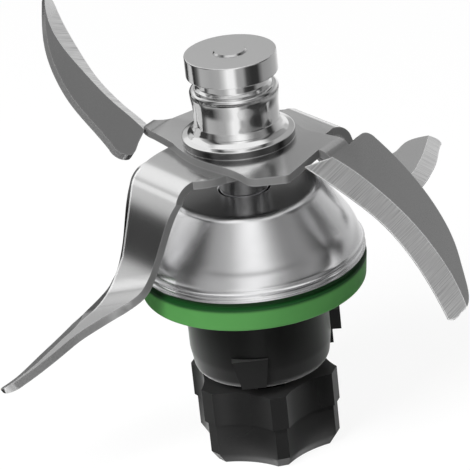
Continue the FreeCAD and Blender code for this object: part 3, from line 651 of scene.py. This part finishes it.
# Cover: a dome drawn from stainless sheet over the bearings, its rim rolled over the housing plate.
# The flank is polished; the flat round the shaft is painted a darker shade, standing in for the dark reflection it
# shows.
def traced(pieces, fineness=9):
    """Profile through (r, z) pieces: 2 points are a line with a support point near each end, 3 points are the
    circular arc through them."""
    path = []
    for piece in pieces:
        ends = np.array(piece, float)
        if len(ends) == 2:
            lean = min(0.12 / np.linalg.norm(ends[1] - ends[0]), 0.3)
            path.extend(ends[0] + share * (ends[1] - ends[0]) for share in (0.0, lean, 1 - lean))
            continue
        a, b, c = ends
        centre = np.linalg.solve(2 * np.array([b - a, c - a]), [b @ b - a @ a, c @ c - a @ a])
        begin, middle, finish = (math.atan2(*(p - centre)[::-1]) for p in ends)
        turn_by = (finish - begin + math.pi) % (2 * math.pi) - math.pi
        radius = np.linalg.norm(a - centre)
        for share in np.arange(fineness) / fineness:
            angle = begin + share * turn_by
            path.append(centre + radius * np.array([math.cos(angle), math.sin(angle)]))
    return path


dome = lathe("dome", traced([
    [(6.2, 66.8), (6.2, 67.5)],
    [(6.2, 67.5), (6.5, 67.8)],
    [(6.5, 67.8), (16.4, 67.8)],
    [(16.4, 67.8), (17.75, 67.45), (18.75, 66.6)],
    [(18.75, 66.6), (24.3, 58.8)],
    [(24.3, 58.8), (25.75, 56.15), (26.5, 53.6)],
    [(26.5, 53.6), (26.8, 52.75), (27.4, 52.35)],
    [(27.4, 52.35), (28.4, 51.45), (27.5, 50.5)],
    [(27.5, 50.5), (25.4, 50.5)],
    [(25.4, 50.5), (25.4, 53.8)],
    [(25.4, 53.8), (24.8, 55.8), (23.5, 58.2)],
    [(23.5, 58.2), (17.95, 66.0)],
    [(17.95, 66.0), (17.2, 66.6), (16.2, 66.8)],
    [(16.2, 66.8), (6.2, 66.8)],
]))
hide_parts("dome_cover")
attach(dome, "housing")
# the flat above 67.8 mm gets a painted shade of 0.22 for its dark reflection
dome.data.materials.append(turned_steel("dome_steel", (0.97, 0.97, 0.98), 0.21, 0.03, 900.0, 0.3e-6, (0.0678, 0.22)))


# Seal: a ring of green silicone, moulded with two grooves in its underside.
# It sits round the housing neck under the plate and is pressed on the bowl's floor.
# painted shadow under the dome's lip: the heights and the green of the darker band
LIP_SHADOW_FROM, LIP_SHADOW_FULL = 0.0476, 0.0486
LIP_SHADOW_GREEN = (0.008, 0.055, 0.012, 1)
seal = lathe("seal", filleted([
    (17.2, 44.2, 0.1),
    (17.2, 50.5, 0.1),
    (26.5, 50.5, 0.08),
    (26.5, 49.0, 0.2),
    (27.6, 48.75, 0.35),
    (27.04, 43.0, 0.55),
    (24.6, 43.0, 0.1),
    (23.9, 44.3, 0.3),
    (23.2, 43.0, 0.1),
    (21.6, 43.0, 0.1),
    (20.9, 44.3, 0.3),
    (20.2, 43.0, 0.1),
    (18.4, 43.0, 0.1),
]))
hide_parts("seal_ring")
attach(seal, "housing")
silicone, shader, bench = new_material("green_silicone", metallic=0.0)
bloom = bench.noise(bench.place(), 45.0, 4.0)
pores = bench.noise(bench.place(), 2200.0)
green = bench.ramp(bloom, [(0.35, (0.066, 0.250, 0.058)), (0.65, (0.082, 0.292, 0.070))])
# painted shadow: the seal's top is drawn darker green in the corner under the dome's lip, where the lip keeps light
# off
corner = bench.spread(bench.axes(bench.place())[2], LIP_SHADOW_FROM, LIP_SHADOW_FULL)
bench.link(bench.mix(corner, green, LIP_SHADOW_GREEN), shader["Base Color"])
bench.link(bench.math("MULTIPLY_ADD", bloom, 0.12, 0.42), shader["Roughness"])
shader["Specular IOR Level"].default_value = 0.25
roughened(bench, shader, pores, 6.0e-6)
seal.data.materials.append(silicone)


# Housing and coupling: black glass-filled nylon, moulded in polished tools.
# The housing carries the bearings, its lugs lock in the bowl; the coupling takes the drive from the motor.
def black_moulding(name, shade, roughness, specular=0.5, sheen=0.0):
    """Moulded nylon or rubber: clouded flow marks in its shade and gloss, and a fine skin."""
    material, shader, bench = new_material(name, metallic=0.0)
    flow = bench.noise(bench.place(), 70.0, 4.0)
    skin = bench.noise(bench.place(), 1800.0)
    bench.link(bench.ramp(flow, [(0.3, 0.7 * shade), (0.7, 1.2 * shade)]), shader["Base Color"])
    bench.link(bench.math("MULTIPLY_ADD", flow, 0.12, roughness), shader["Roughness"])
    shader["Specular IOR Level"].default_value = specular
    shader["Sheen Weight"].default_value = sheen
    shader["Sheen Roughness"].default_value = 0.4
    roughened(bench, shader, skin, 4.0e-6)
    return material


dressed("bearing_housing", black_moulding("housing_nylon", 0.002, 0.12, 0.12, 1.0))
dressed("drive_coupling", black_moulding("coupling_nylon", 0.003, 0.16, 0.34, 0.5))


# Inside: shaft, sleeve, ball bearings, spacers, shaft seal and the coupling's nut, stacked in the housing's bore.
# Ground, plated and spring steel, sintered bronze, nylon and rubber, mostly seen when the knife is taken apart.
ground_steel = turned_steel("ground_steel", (0.66, 0.66, 0.67), 0.16, 0.08, 3200.0)
plated_steel = turned_steel("plated_steel", (0.70, 0.69, 0.66), 0.28, 0.12, 2400.0, 3.0e-6)
spring_steel = turned_steel("spring_steel", (0.44, 0.44, 0.46), 0.25, 0.10, 2600.0)
bronze = turned_steel("sintered_bronze", (0.52, 0.36, 0.17), 0.38, 0.15, 1500.0, 5.0e-6)
black_rubber = black_moulding("black_rubber", 0.02, 0.5)
cage_nylon = black_moulding("cage_nylon", 0.35, 0.4)
for finish, names in (
    (capped_steel("shaft_steel", 0.70), ("drive_shaft",)),
    (ground_steel, ("bearing_sleeve", "lower_inner_ring", "upper_inner_ring", "lower_outer_ring",
                    "upper_outer_ring", "lower_bearing_balls", "upper_bearing_balls")),
    (plated_steel, ("lower_bearing_shields", "upper_bearing_shields", "inner_spacer", "lip_seal_case",
                    "coupling_insert", "coupling_washer", "coupling_nut")),
    (spring_steel, ("bearing_circlip", "preload_spring", "lip_seal_spring")),
    (cage_nylon, ("lower_ball_cage", "upper_ball_cage")),
    (black_rubber, ("dome_gasket", "lip_seal")),
    (bronze, ("thrust_washer",)),
):
    for node in names:
        dressed(node, finish)
